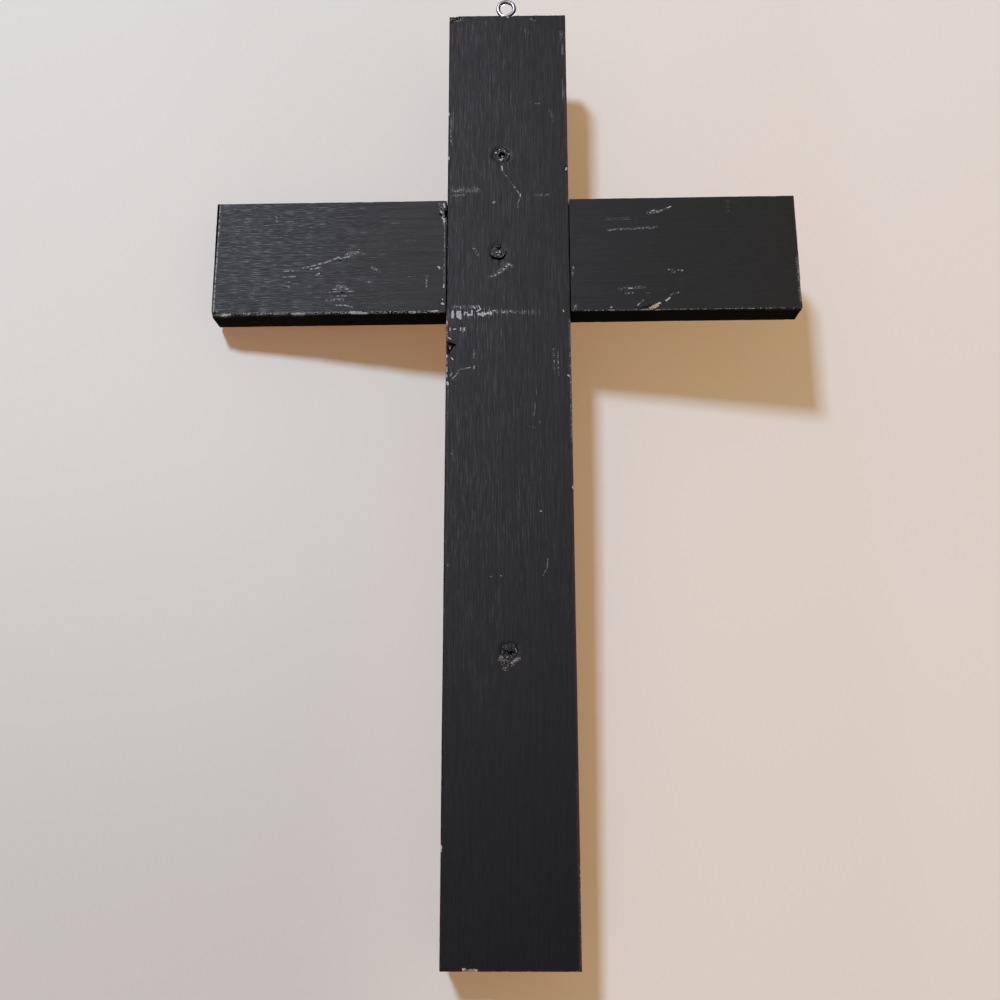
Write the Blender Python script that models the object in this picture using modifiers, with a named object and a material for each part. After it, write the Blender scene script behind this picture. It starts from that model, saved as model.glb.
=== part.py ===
"""Wall cross: two painted boards lapped into each other, screws in its back and a screw eye to hang it by.

Metres, +Z up along the post. The back, which lies against the wall, faces +Y, and the front faces -Y.
The origin is the middle of the screw eye's ring, where the nail or hook goes through.
"""
from math import atan2, cos, pi, radians, sin, tan

import bmesh
import bpy
from mathutils import Matrix, Vector

# The boards
POST_LENGTH = 0.485
POST_WIDTH = 0.0635
BAR_LENGTH = 0.302
BAR_WIDTH = 0.063
BOARD_THICKNESS = 0.016
EDGE_ROUND = 0.0006

# Where the bar crosses the post
BAR_DROP = 0.142             # from the post's top end down to the middle of the bar
BAR_SHIFT = 0.0015           # the bar's middle lies this far towards +X from the post's middle
BAR_TILT = radians(0.4)      # the bar isn't quite square to the post: its -X end is the higher one

# Gaps between pieces that touch
GAP = 0.0003
SEAM = 0.0006                # the wider gap seen on each side of the post, where the bar's arms start

# Screws driven in from the back: a cone head under a short straight rim, and a shank ending in a point
SCREW_HEAD_RADIUS = 0.0042
SCREW_SHANK_RADIUS = 0.0016
SCREW_LENGTH = 0.0125
SCREW_SUNK = 0.0004          # how deep the head's top lies under the back face
SCREW_RIM = 0.0003
SCREW_POINT = 0.003
COUNTERSINK_HALF_ANGLE = radians(41)
RECESS_SPAN = 0.0044         # the cross recess in the head, tip to tip
RECESS_WIDTH = 0.0011
RECESS_DEPTH = 0.0014

# Each screw: how far it is above the middle of the bar, how far to the +X side of the post's middle,
# and how far its recess is turned
SCREWS = {
    "screw_top": (0.0576, 0.0033, radians(12)),
    "screw_cross": (0.0026, 0.0051, radians(38)),
    "screw_foot": (-0.2026, 0.0, radians(4)),
}

# The screw eye in the top end
EYE_RING_RADIUS = 0.0044     # to the middle of the wire
EYE_WIRE = 0.0022
EYE_BEND_RADIUS = 0.002      # where the shank turns into the ring
EYE_NECK = 0.0016            # straight shank that shows between the wood and that bend
EYE_SHANK = 0.012            # length in the wood, its point included
EYE_POINT = 0.003
EYE_POINT_SHARE = 0.12       # the point's end, as a share of the wire
EYE_MOUTH = radians(28)      # from straight down, round to the ring's free end
EYE_FLARE = 0.0004           # the free end stands out from the ring by this much
EYE_FROM_BACK = 0.005        # from the ring's plane to the back face
EYE_SHIFT = 0.0006           # from the post's middle to the eye, towards +X
BEND_STEPS = 6
RING_STEPS = 44

# Chips knocked out of the back's edges. Each: its place along the edge, then its length, width and depth
CHIP_TWIST = radians(11)
POST_EDGE_CHIP = (0.1925, 0.0075, 0.0045, 0.0014)     # +X edge, down from the top end
POST_FOOT_CHIP = (0.0165, 0.0060, 0.0014, 0.0010)     # bottom edge, from the post's middle towards +X
BAR_FLAKE = (-0.0750, 0.0105, 0.0034, 0.0008)         # lower edge, from the bar's middle
BAR_EDGE_CHIP = (0.0745, 0.0060, 0.0012, 0.0010)      # lower edge, from the bar's middle

# Each piece's colour, roughness and metallic value
FINISHES = {
    "post": ((0.040, 0.040, 0.043), 0.42, 0.0),
    "crossbar": ((0.042, 0.044, 0.047), 0.42, 0.0),
    "screw": ((0.045, 0.045, 0.046), 0.45, 0.6),
    "screw_eye": ((0.72, 0.73, 0.74), 0.25, 1.0),
}

ROUND_SIDES = 32
OVER = 0.002                 # how far a cutter reaches past the face that it cuts
MERGE = 0.00001

# Places worked out from the sizes above
BEND_REACH = EYE_RING_RADIUS + EYE_BEND_RADIUS
BEND_Z = -((BEND_REACH ** 2 - EYE_BEND_RADIUS ** 2) ** 0.5)
TOP_Z = BEND_Z - EYE_NECK
POST_X = -EYE_SHIFT
BACK_Y = EYE_FROM_BACK
FRONT_Y = BACK_Y - BOARD_THICKNESS
LAP_Y = (BACK_Y + FRONT_Y) / 2
BAR_Z = TOP_Z - BAR_DROP
BAR_PLACE = Matrix.Translation((POST_X + BAR_SHIFT, 0, BAR_Z)) @ Matrix.Rotation(BAR_TILT, 4, "Y")
FACING_BACK = Matrix.Rotation(radians(-90), 4, "X")   # turns +Z to +Y


def clear_scene():
    for obj in list(bpy.data.objects):
        bpy.data.objects.remove(obj, do_unlink=True)
    for collection in list(bpy.data.collections):
        bpy.data.collections.remove(collection)


def new_collection(name):
    collection = bpy.data.collections.new(name)
    bpy.context.scene.collection.children.link(collection)
    return collection


def new_material(name, colour, roughness, metallic):
    material = bpy.data.materials.new(name)
    material.use_nodes = True
    shader = material.node_tree.nodes["Principled BSDF"]
    shader.inputs["Base Color"].default_value = (*colour, 1.0)
    shader.inputs["Roughness"].default_value = roughness
    shader.inputs["Metallic"].default_value = metallic
    material.diffuse_color = (*colour, 1.0)
    return material


def add_piece(name, data, collection, finish):
    piece = bpy.data.objects.new(name, data)
    collection.objects.link(piece)
    data.materials.append(new_material(name, *FINISHES[finish]))
    return piece


def add_cutter(name, mesh, collection, place):
    cutter = bpy.data.objects.new(name, mesh)
    collection.objects.link(cutter)
    cutter.display_type = "WIRE"
    cutter.hide_render = True
    cutter.matrix_world = place
    return cutter


def cut(piece, cutter):
    boolean = piece.modifiers.new(cutter.name, "BOOLEAN")
    boolean.operation = "DIFFERENCE"
    boolean.solver = "EXACT"
    boolean.object = cutter


def mesh_from(bm, name):
    mesh = bpy.data.meshes.new(name)
    bm.to_mesh(mesh)
    bm.free()
    return mesh


def box_mesh(name, size, centre=(0, 0, 0)):
    bm = bmesh.new()
    bmesh.ops.create_cube(bm, size=1.0)
    bmesh.ops.scale(bm, vec=size, verts=bm.verts)
    bmesh.ops.translate(bm, vec=centre, verts=bm.verts)
    return mesh_from(bm, name)


def round_edges(board):
    bevel = board.modifiers.new("rounded edges", "BEVEL")
    bevel.width = EDGE_ROUND
    bevel.segments = 2
    bevel.limit_method = "ANGLE"


def make_post(pieces):
    size = (POST_WIDTH, BOARD_THICKNESS, POST_LENGTH)
    centre = (POST_X, LAP_Y, TOP_Z - POST_LENGTH / 2)
    post = add_piece("post", box_mesh("post", size, centre), pieces, "post")
    round_edges(post)
    return post


def make_crossbar(pieces):
    size = (BAR_LENGTH, BOARD_THICKNESS, BAR_WIDTH)
    crossbar = add_piece("crossbar", box_mesh("crossbar", size, (0, LAP_Y, 0)), pieces, "crossbar")
    crossbar.matrix_world = BAR_PLACE
    round_edges(crossbar)
    return crossbar


def lap_boards(post, crossbar, cutters):
    """The post keeps its back half and the bar its front half, so both pairs of faces lie flush."""
    reach = POST_WIDTH + BAR_WIDTH
    floor = LAP_Y + GAP / 2
    size = (reach, floor - FRONT_Y + OVER, BAR_WIDTH + 2 * GAP)
    mesh = box_mesh("post_notch", size, (0, (floor + FRONT_Y - OVER) / 2, 0))
    cut(post, add_cutter("post_notch", mesh, cutters, BAR_PLACE))

    floor = LAP_Y - GAP / 2
    size = (POST_WIDTH + 2 * SEAM, BACK_Y + OVER - floor, reach)
    mesh = box_mesh("bar_notch", size, (0, (BACK_Y + OVER + floor) / 2, 0))
    cut(crossbar, add_cutter("bar_notch", mesh, cutters, Matrix.Translation((POST_X, 0, BAR_Z))))


def profile_mesh(name, points):
    bm = bmesh.new()
    verts = [bm.verts.new((radius, 0, z)) for radius, z in points]
    for pair in zip(verts, verts[1:]):
        bm.edges.new(pair)
    return mesh_from(bm, name)


def turn_round(obj):
    """Turns a profile about its own Z axis into a closed solid."""
    turned = obj.modifiers.new("turned", "SCREW")
    turned.axis = "Z"
    turned.steps = ROUND_SIDES
    turned.render_steps = ROUND_SIDES
    turned.use_merge_vertices = True
    turned.merge_threshold = MERGE
    turned.use_smooth_shade = False


def screw_profile(clearance, mouth):
    """(radius, z) pairs, top to bottom, with the head's top at z = 0, grown by the clearance for its hole."""
    head = SCREW_HEAD_RADIUS + clearance
    shank = SCREW_SHANK_RADIUS + clearance
    cone_top = -SCREW_RIM - clearance
    cone_end = cone_top - (head - shank) / tan(COUNTERSINK_HALF_ANGLE)
    end = -SCREW_LENGTH - clearance
    return [(0, mouth), (head, mouth), (head, cone_top), (shank, cone_end), (shank, end + SCREW_POINT), (0, end)]


def make_screw(name, pieces, cutters):
    """Adds a screw and returns the cutter of its countersunk hole."""
    rise, side, recess_turn = SCREWS[name]
    place = Matrix.Translation((POST_X + side, BACK_Y - SCREW_SUNK, BAR_Z + rise)) @ FACING_BACK
    screw = add_piece(name, profile_mesh(name, screw_profile(0, 0)), pieces, "screw")
    screw.matrix_world = place
    turn_round(screw)
    for end, quarter in (("a", 0), ("b", pi / 2)):
        slot_mesh = box_mesh(name + "_slot_" + end, (RECESS_SPAN, RECESS_WIDTH, 2 * RECESS_DEPTH))
        slot_place = place @ Matrix.Rotation(recess_turn + quarter, 4, "Z")
        cut(screw, add_cutter(slot_mesh.name, slot_mesh, cutters, slot_place))
    hole_mesh = profile_mesh(name + "_hole", screw_profile(GAP, SCREW_SUNK + OVER))
    hole = add_cutter(name + "_hole", hole_mesh, cutters, place)
    turn_round(hole)
    return hole


def eye_route():
    """(place, share of the wire) pairs: the point in the wood, the shank, its bend, and the ring to its free end."""
    tip = TOP_Z - EYE_SHANK
    route = [(Vector((0, 0, tip)), EYE_POINT_SHARE), (Vector((0, 0, tip + EYE_POINT)), 1.0)]
    bend_middle = Vector((-EYE_BEND_RADIUS, 0, BEND_Z))
    meet = atan2(-BEND_Z, EYE_BEND_RADIUS)
    for step in range(BEND_STEPS):
        angle = meet * step / BEND_STEPS
        route.append((bend_middle + EYE_BEND_RADIUS * Vector((cos(angle), 0, sin(angle))), 1.0))
    start = pi + meet
    end = EYE_MOUTH - pi / 2
    for step in range(RING_STEPS + 1):
        share = step / RING_STEPS
        angle = start + (end - start) * share
        radius = EYE_RING_RADIUS + EYE_FLARE * max(0.0, 4 * share - 3) ** 2
        route.append((radius * Vector((cos(angle), 0, sin(angle))), 1.0))
    return route


def make_screw_eye(pieces, cutters):
    """Adds the screw eye and returns the cutter of its hole in the post's end."""
    wire = bpy.data.curves.new("screw_eye", "CURVE")
    wire.dimensions = "3D"
    wire.bevel_depth = EYE_WIRE / 2
    wire.bevel_resolution = 3
    wire.use_fill_caps = True
    spline = wire.splines.new("POLY")
    route = eye_route()
    spline.points.add(len(route) - 1)
    for point, (place, share) in zip(spline.points, route):
        point.co = (*place, 1.0)
        point.radius = share
    eye = add_piece("screw_eye", wire, pieces, "screw_eye")
    weld = eye.modifiers.new("joined caps", "WELD")
    weld.merge_threshold = MERGE

    bottom = TOP_Z - EYE_SHANK - GAP
    top = TOP_Z + OVER
    bm = bmesh.new()
    radius = EYE_WIRE / 2 + GAP
    bmesh.ops.create_cone(bm, cap_ends=True, segments=ROUND_SIDES, radius1=radius, radius2=radius,
                          depth=top - bottom)
    place = Matrix.Translation((0, 0, (top + bottom) / 2))
    return add_cutter("eye_hole", mesh_from(bm, "eye_hole"), cutters, place)


def chip(board, name, place, reach, cutters):
    """Takes a rough chip out of an edge: place is the middle of the lump, and reach its half sizes."""
    twist = Matrix.Rotation(CHIP_TWIST, 4, "X") @ Matrix.Rotation(CHIP_TWIST, 4, "Z")
    bm = bmesh.new()
    bmesh.ops.create_icosphere(bm, subdivisions=1, radius=1.0, matrix=twist)
    bmesh.ops.scale(bm, vec=reach, verts=bm.verts)
    cut(board, add_cutter(name, mesh_from(bm, name), cutters, place @ twist))


def chip_boards(post, crossbar, cutters):
    along, length, width, depth = POST_EDGE_CHIP
    place = Matrix.Translation((POST_X + POST_WIDTH / 2, BACK_Y, TOP_Z - along))
    chip(post, "post_edge_chip", place, (width, depth, length / 2), cutters)
    along, length, width, depth = POST_FOOT_CHIP
    place = Matrix.Translation((POST_X + along, BACK_Y, TOP_Z - POST_LENGTH))
    chip(post, "post_foot_chip", place, (length / 2, depth, width), cutters)
    for name, (along, length, width, depth) in (("bar_flake", BAR_FLAKE), ("bar_edge_chip", BAR_EDGE_CHIP)):
        place = BAR_PLACE @ Matrix.Translation((along, BACK_Y, -BAR_WIDTH / 2))
        chip(crossbar, name, place, (length / 2, depth, width), cutters)


def main():
    clear_scene()
    pieces = new_collection("wall_cross")
    cutters = new_collection("cutters")
    post = make_post(pieces)
    crossbar = make_crossbar(pieces)
    lap_boards(post, crossbar, cutters)
    for name, (rise, _side, _turn) in SCREWS.items():
        hole = make_screw(name, pieces, cutters)
        cut(post, hole)
        if abs(rise) < BAR_WIDTH / 2:
            cut(crossbar, hole)
    cut(post, make_screw_eye(pieces, cutters))
    chip_boards(post, crossbar, cutters)


main()
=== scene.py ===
import math

import bmesh
import bpy
from mathutils import Matrix, Vector, noise


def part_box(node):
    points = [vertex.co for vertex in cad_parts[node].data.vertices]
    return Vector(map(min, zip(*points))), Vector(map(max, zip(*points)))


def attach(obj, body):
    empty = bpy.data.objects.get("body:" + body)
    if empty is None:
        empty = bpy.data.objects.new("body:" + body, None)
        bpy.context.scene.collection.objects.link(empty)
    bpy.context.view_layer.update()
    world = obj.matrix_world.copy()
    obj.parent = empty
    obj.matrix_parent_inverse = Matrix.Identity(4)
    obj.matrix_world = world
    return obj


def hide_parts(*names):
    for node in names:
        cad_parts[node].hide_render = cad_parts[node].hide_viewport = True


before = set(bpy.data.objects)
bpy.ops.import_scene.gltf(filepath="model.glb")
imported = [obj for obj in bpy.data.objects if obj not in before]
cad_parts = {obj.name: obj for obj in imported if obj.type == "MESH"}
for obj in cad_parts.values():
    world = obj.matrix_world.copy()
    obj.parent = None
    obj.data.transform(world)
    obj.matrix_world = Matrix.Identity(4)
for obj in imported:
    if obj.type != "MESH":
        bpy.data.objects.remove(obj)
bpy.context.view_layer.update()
print("frame loaded with", ", ".join(sorted(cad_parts)))

mm = 0.001
postLow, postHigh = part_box("post")
postMiddle = (postLow.x + postHigh.x) / 2
backY = postHigh.y
frontY = postLow.y
topZ = postHigh.z

# Wear and painted shade are placed in millimetres as the back is seen: x to the right of the post's middle,
# depth into the wood, z up from the post's top end.
backFrame = Matrix.Translation((postMiddle, backY, topZ))
backFrame = backFrame @ Matrix.Rotation(math.pi, 4, "Z") @ Matrix.Scale(mm, 4)


view = {
    "place": (-0.00361, 0.50679, -0.3866),
    "turn": (103.186, 0.081, -179.138),
    "lens": 37.8,
    "shiftUp": -0.0200,
}

camera = bpy.data.objects.new("camera", bpy.data.cameras.new("camera"))
bpy.context.scene.collection.objects.link(camera)
camera.location = view["place"]
camera.rotation_euler = [math.radians(angle) for angle in view["turn"]]
camera.data.lens = view["lens"]
camera.data.shift_y = view["shiftUp"]
camera.data.clip_start = 0.01
bpy.context.scene.camera = camera
print("camera placed")


def put(tree, kind, inputs=None, **options):
    made = tree.nodes.new(kind)
    for option, value in options.items():
        setattr(made, option, value)
    for socket, value in (inputs or {}).items():
        if isinstance(value, bpy.types.NodeSocket):
            tree.links.new(value, made.inputs[socket])
        else:
            made.inputs[socket].default_value = value
    return made


def calc(tree, operation, first, second, clamp=False):
    made = put(tree, "ShaderNodeMath", {0: first, 1: second}, operation=operation, use_clamp=clamp)
    return made.outputs[0]


def vectorCalc(tree, operation, first, second=None, output="Vector"):
    inputs = {0: first}
    if second is not None:
        inputs["Scale" if operation == "SCALE" else 1] = second
    return put(tree, "ShaderNodeVectorMath", inputs, operation=operation).outputs[output]


def ramp(tree, value, fromLow, fromHigh, toLow=0.0, toHigh=1.0):
    inputs = {"Value": value, "From Min": fromLow, "From Max": fromHigh, "To Min": toLow, "To Max": toHigh}
    return put(tree, "ShaderNodeMapRange", inputs, interpolation_type="SMOOTHSTEP").outputs["Result"]


def speckle(tree, point, scale, detail, roughness=0.5):
    inputs = {"Vector": point, "Scale": scale, "Detail": detail, "Roughness": roughness}
    return put(tree, "ShaderNodeTexNoise", inputs).outputs["Fac"]


def inMillimetres(tree, coordinates, origin=(0, 0, 0), turn=(0, 0, 0), deepness=1):
    # the point in millimetres from an origin and turn of its own; depth counts a share of its length
    inputs = {"Vector": coordinates, "Location": origin, "Rotation": turn, "Scale": (mm, deepness * mm, mm)}
    return put(tree, "ShaderNodeMapping", inputs, vector_type="TEXTURE").outputs[0]


def bumpOnto(tree, shader, height, distance, strength=1.0):
    bump = put(tree, "ShaderNodeBump", {"Height": height, "Distance": distance * mm, "Strength": strength})
    tree.links.new(bump.outputs["Normal"], shader.inputs["Normal"])


def blend(tree, share, first, second):
    made = put(tree, "ShaderNodeMix", {"Factor": share}, data_type="RGBA")
    for socket, value in ((6, first), (7, second)):
        if isinstance(value, bpy.types.NodeSocket):
            tree.links.new(value, made.inputs[socket])
        else:
            made.inputs[socket].default_value = (*value, 1.0)
    return made.outputs[2]


def newGroup(name, inputs, outputs):
    group = bpy.data.node_groups.new(name, "ShaderNodeTree")
    for socketName, kind in inputs.items():
        group.interface.new_socket(socketName, in_out="INPUT", socket_type="NodeSocket" + kind)
    for socketName, kind in outputs.items():
        group.interface.new_socket(socketName, in_out="OUTPUT", socket_type="NodeSocket" + kind)
    given = group.nodes.new("NodeGroupInput")
    result = group.nodes.new("NodeGroupOutput")
    return group, given.outputs, result.inputs


def use(tree, group, inputs):
    return put(tree, "ShaderNodeGroup", inputs, node_tree=group).outputs


def newMaterial(name):
    material = bpy.data.materials.new(name)
    material.use_nodes = True
    tree = material.node_tree
    return material, tree, tree.nodes["Principled BSDF"]


def makeGrainGroup():
    # long soft ridges along z, short pale hairs on top of them, and wide patches
    group, given, result = newGroup(
        "brushed grain",
        {"Point": "Vector", "Ridge Spacing": "Float", "Ridge Length": "Float", "Hair Spacing": "Float",
         "Hair Length": "Float"},
        {"Ridges": "Float", "Hairs": "Float", "Patches": "Float"},
    )

    def drawnOut(spacing, length, detail):
        cell = put(group, "ShaderNodeCombineXYZ", {"X": spacing, "Y": spacing, "Z": length}).outputs[0]
        return speckle(group, vectorCalc(group, "DIVIDE", given["Point"], cell), 1.0, detail)

    group.links.new(drawnOut(given["Ridge Spacing"], given["Ridge Length"], 1.0), result["Ridges"])
    group.links.new(drawnOut(given["Hair Spacing"], given["Hair Length"], 1.5), result["Hairs"])
    group.links.new(speckle(group, given["Point"], 0.045, 3.0), result["Patches"])
    return group


def makeEdgeGroup():
    # how far a board is worn towards its edges, with a ragged border
    group, given, result = newGroup(
        "edge wear",
        {"Point": "Vector", "Half Size": "Vector", "Reach": "Float", "Raggedness": "Float"},
        {"Worn": "Float"},
    )
    outward = vectorCalc(group, "ABSOLUTE", given["Point"])
    inward = vectorCalc(group, "SUBTRACT", given["Half Size"], outward)
    split = put(group, "ShaderNodeSeparateXYZ", {"Vector": inward}).outputs
    low = calc(group, "MINIMUM", split["X"], split["Y"])
    high = calc(group, "MAXIMUM", split["X"], split["Y"])
    middle = calc(group, "MAXIMUM", low, calc(group, "MINIMUM", high, split["Z"]))
    rough = speckle(group, given["Point"], 0.55, 4.0, 0.7)
    swing = calc(group, "MULTIPLY", calc(group, "SUBTRACT", rough, 0.5), given["Raggedness"])
    ragged = calc(group, "ADD", middle, swing)
    group.links.new(ramp(group, ragged, 0.0, given["Reach"], 1.0, 0.0), result["Worn"])
    return group


def makeStrokeGroup():
    # distance to a short stroke in half widths, kept where it is nearer than what came before
    group, given, result = newGroup(
        "stroke",
        {"Point": "Vector", "From": "Vector", "To": "Vector", "Half Width": "Float", "Nearest": "Float"},
        {"Nearest": "Float"},
    )
    span = vectorCalc(group, "SUBTRACT", given["To"], given["From"])
    # a trace of the last stroke's result, so that Cycles works the strokes out one after another
    trace = {0: given["Nearest"], 1: (1e-7, 1e-7, 1e-7), 2: given["Point"]}
    inTurn = put(group, "ShaderNodeVectorMath", trace, operation="MULTIPLY_ADD").outputs["Vector"]
    offset = vectorCalc(group, "SUBTRACT", inTurn, given["From"])
    reached = vectorCalc(group, "DOT_PRODUCT", offset, span, "Value")
    length = vectorCalc(group, "DOT_PRODUCT", span, span, "Value")
    share = calc(group, "DIVIDE", reached, calc(group, "MAXIMUM", length, 0.0001), clamp=True)
    away = vectorCalc(group, "SUBTRACT", offset, vectorCalc(group, "SCALE", span, share))
    distance = calc(group, "DIVIDE", vectorCalc(group, "LENGTH", away, output="Value"), given["Half Width"])
    group.links.new(calc(group, "MINIMUM", distance, given["Nearest"]), result["Nearest"])
    return group


grainGroup = makeGrainGroup()
edgeGroup = makeEdgeGroup()
strokeGroup = makeStrokeGroup()
print("node groups made")


def seenFromBack(tree, coordinates, startDepth=0.0):
    # the frame of the wear and the painted shade, where depth counts a third, so that they reach down into
    # hollows
    origin = (postMiddle, backY - startDepth * mm, topZ)
    return inMillimetres(tree, coordinates, origin, (0, 0, math.pi), 3)


def strokesDistance(tree, point, strokes, ragged):
    # distance to the nearest stroke in half widths
    nearest = 9.0
    for fromX, fromZ, toX, toZ, halfWidth in strokes:
        nearest = use(tree, strokeGroup, {
            "Point": point,
            "From": (fromX, 0, fromZ),
            "To": (toX, 0, toZ),
            "Half Width": halfWidth,
            "Nearest": nearest,
        })["Nearest"]
    return calc(tree, "ADD", nearest, ragged)


def strokesMask(tree, point, strokes, ragged, softness):
    return ramp(tree, strokesDistance(tree, point, strokes, ragged), 1.0 + softness, 1.0 - softness)


def paintedWood(name, place, half, look, wear):
    material, tree, shader = newMaterial(name)
    coordinates = put(tree, "ShaderNodeTexCoord").outputs["Object"]
    point = inMillimetres(tree, coordinates, place.to_translation(), place.to_euler())
    seen = seenFromBack(tree, coordinates)

    grain = use(tree, grainGroup, {
        "Point": point,
        "Ridge Spacing": look["ridgeSpacing"],
        "Ridge Length": look["ridgeLength"],
        "Hair Spacing": look["hairSpacing"],
        "Hair Length": look["hairLength"],
    })
    edge = use(tree, edgeGroup, {
        "Point": point,
        "Half Size": half,
        "Reach": look["edgeReach"],
        "Raggedness": look["edgeRaggedness"],
    })
    fleck = speckle(tree, point, look["fleckScale"], 2.0)
    gaps = speckle(tree, point, look["gapScale"], 2.5)
    ragged = calc(tree, "MULTIPLY", calc(tree, "SUBTRACT", fleck, 0.5), look["strokeRaggedness"])

    # wear and painted shade: each kind is a set of strokes, broken up in its own way
    def worn(kind, softness, broken=None):
        mask = strokesMask(tree, seen, wear[kind], ragged, softness)
        return mask if broken is None else calc(tree, "MULTIPLY", mask, broken)

    chipDistance = strokesDistance(tree, seen, wear["chipped"], ragged)
    chipped = ramp(tree, chipDistance, *look["chipBorder"])
    # painted shadow: a dark rim round each chip, where its broken edge would throw shade
    chipShadowRim = calc(tree, "MULTIPLY", ramp(tree, chipDistance, *look["chipShadowRimBorder"]), look["chipShadowRim"])
    scratched = worn("scratched", 0.6, ramp(tree, gaps, 0.42, 0.58, 0.12, 1.0))
    scuffed = worn("scuffed", 0.3, ramp(tree, gaps, 0.47, 0.51))
    dotted = worn("dotted", 0.7, ramp(tree, fleck, look["dotsFrom"], look["dotsFrom"] + 0.09))
    rubbed = worn("rubbed", 0.5, ramp(tree, grain["Hairs"], 0.52, 0.66))
    bare = worn("bare", 0.3, ramp(tree, grain["Hairs"], 0.36, 0.46, 0.3, 1.0))
    bareDots = worn("bareDots", 0.7, ramp(tree, fleck, 0.48, 0.4))
    brown = worn("brown", 0.5)
    # the dark strokes and the chip rims are painted shade, in nicks and chips, along edges and round the
    # screw heads
    dark = calc(tree, "MAXIMUM", worn("dark", 0.3), chipShadowRim)

    # paint, a little lighter on the ridges, with pale hairs on top that are partly dust and partly painted
    # sheen
    split = put(tree, "ShaderNodeSeparateXYZ", {"Vector": point}).outputs
    dustAndSheenShare = ramp(tree, split["Z"], *look["dustAndSheenSpan"], *look["dustAndSheenAmount"])
    dustAndSheenShare = calc(tree, "MULTIPLY", dustAndSheenShare, ramp(tree, split["Y"], *look["dustAndSheenFrontToBack"]))
    dustAndSheenShare = calc(tree, "MULTIPLY", dustAndSheenShare, ramp(tree, split["X"], *look["dustAndSheenAcross"]))
    colour = blend(tree, ramp(tree, grain["Ridges"], 0.3, 0.7), look["hollowColour"], look["paintColour"])
    # painted shading: the post goes darker towards its lower end and the bar lighter and warmer towards its
    # far arm, as the light falls across them
    colour = blend(tree, ramp(tree, split["Z"], *look["farShadingSpan"]), colour, look["farShadingColour"])
    # a broad pale, bluish painted sheen with a film of dust over the dustiest end
    dustAndSheenHaze = calc(tree, "MULTIPLY", calc(tree, "MULTIPLY", dustAndSheenShare, dustAndSheenShare), look["dustAndSheenHaze"])
    colour = blend(tree, dustAndSheenHaze, colour, look["dustAndSheenColour"])
    # pale hairs, partly dust and partly painted sheen, thickest where the sheen is strongest
    dustAndSheenHairs = ramp(tree, grain["Hairs"], look["hairsFrom"], look["hairsFrom"] + 0.1)
    dustAndSheenHairs = calc(tree, "MULTIPLY", dustAndSheenHairs, dustAndSheenShare)
    dustAndSheenBreaks = (grain["Patches"], "dustAndSheenPatches"), (fleck, "dustAndSheenFlecks"), (grain["Ridges"], "dustAndSheenRidges")
    for value, limits in dustAndSheenBreaks:
        dustAndSheenHairs = calc(tree, "MULTIPLY", dustAndSheenHairs, ramp(tree, value, *look[limits]))
    colour = blend(tree, dustAndSheenHairs, colour, look["dustAndSheenColour"])

    # then the worn edges and the strokes of wear and painted shade, one over the other
    edgeLine = calc(tree, "MULTIPLY", edge["Worn"], look["edgeShow"])
    edgeBare = ramp(tree, fleck, look["edgeChips"], look["edgeChips"] + 0.08)
    edgeBare = calc(tree, "MULTIPLY", edge["Worn"], edgeBare)
    scraped = calc(tree, "MULTIPLY", rubbed, look["rubbedShow"])
    chipped = calc(tree, "MAXIMUM", chipped, scuffed)
    scraped = calc(tree, "MAXIMUM", scraped, calc(tree, "MULTIPLY", dotted, look["dotsShow"]))
    scraped = calc(tree, "MAXIMUM", scraped, calc(tree, "MULTIPLY", scratched, look["scratchShow"]))
    scraped = calc(tree, "MAXIMUM", scraped, chipped)
    layers = (
        (edgeLine, "edgeColour"), (edgeBare, "chipColour"), (brown, "brownColour"), (dark, "darkColour"),
        (bareDots, "chipColour"), (bare, "bareColour"), (scraped, "scrapedColour"),
    )
    for mask, tone in layers:
        colour = blend(tree, mask, colour, look[tone])
    tree.links.new(colour, shader.inputs["Base Color"])

    swing = look["roughnessSwing"]
    roughness = ramp(tree, grain["Ridges"], 0.3, 0.7, look["roughness"] + swing, look["roughness"] - swing)
    dulled = calc(tree, "MAXIMUM", calc(tree, "MAXIMUM", chipped, bare), edgeBare)
    dulled = calc(tree, "MAXIMUM", dulled, dark)
    dulled = calc(tree, "MULTIPLY", dulled, look["wearDulls"])
    dulled = calc(tree, "ADD", dulled, calc(tree, "MULTIPLY", dustAndSheenShare, look["dustDulls"]))
    tree.links.new(calc(tree, "ADD", roughness, dulled, clamp=True), shader.inputs["Roughness"])
    # painted shade: the dark marks give back no sheen at all, and the lines between the hairs of dust and
    # painted sheen give back less
    between = calc(tree, "MULTIPLY", ramp(tree, grain["Hairs"], 0.46, 0.38), dustAndSheenShare)
    deep = calc(tree, "MAXIMUM", dark, calc(tree, "MULTIPLY", between, look["hairDark"]))
    deep = calc(tree, "MULTIPLY", deep, calc(tree, "SUBTRACT", 1.0, scraped))
    tree.links.new(deep, shader.inputs["Metallic"])

    height = calc(tree, "ADD", grain["Ridges"], calc(tree, "MULTIPLY", grain["Hairs"], look["hairHeight"]))
    bumpOnto(tree, shader, height, look["bump"])
    return material


def meshLines(half, step, rims, closer=()):
    # where the mesh lines cross one side of a board: close together at the rims and in the spans given
    lines = [half - rim for rim in rims] + [rim - half for rim in rims]
    place = rims[-1] - half
    end = half - rims[-1]
    while True:
        stride = step
        for low, high, fineStep in closer:
            if low <= place <= high:
                stride = fineStep
        place += stride
        if place > end - stride / 2:
            return sorted(lines)
        lines.append(place)


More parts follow.
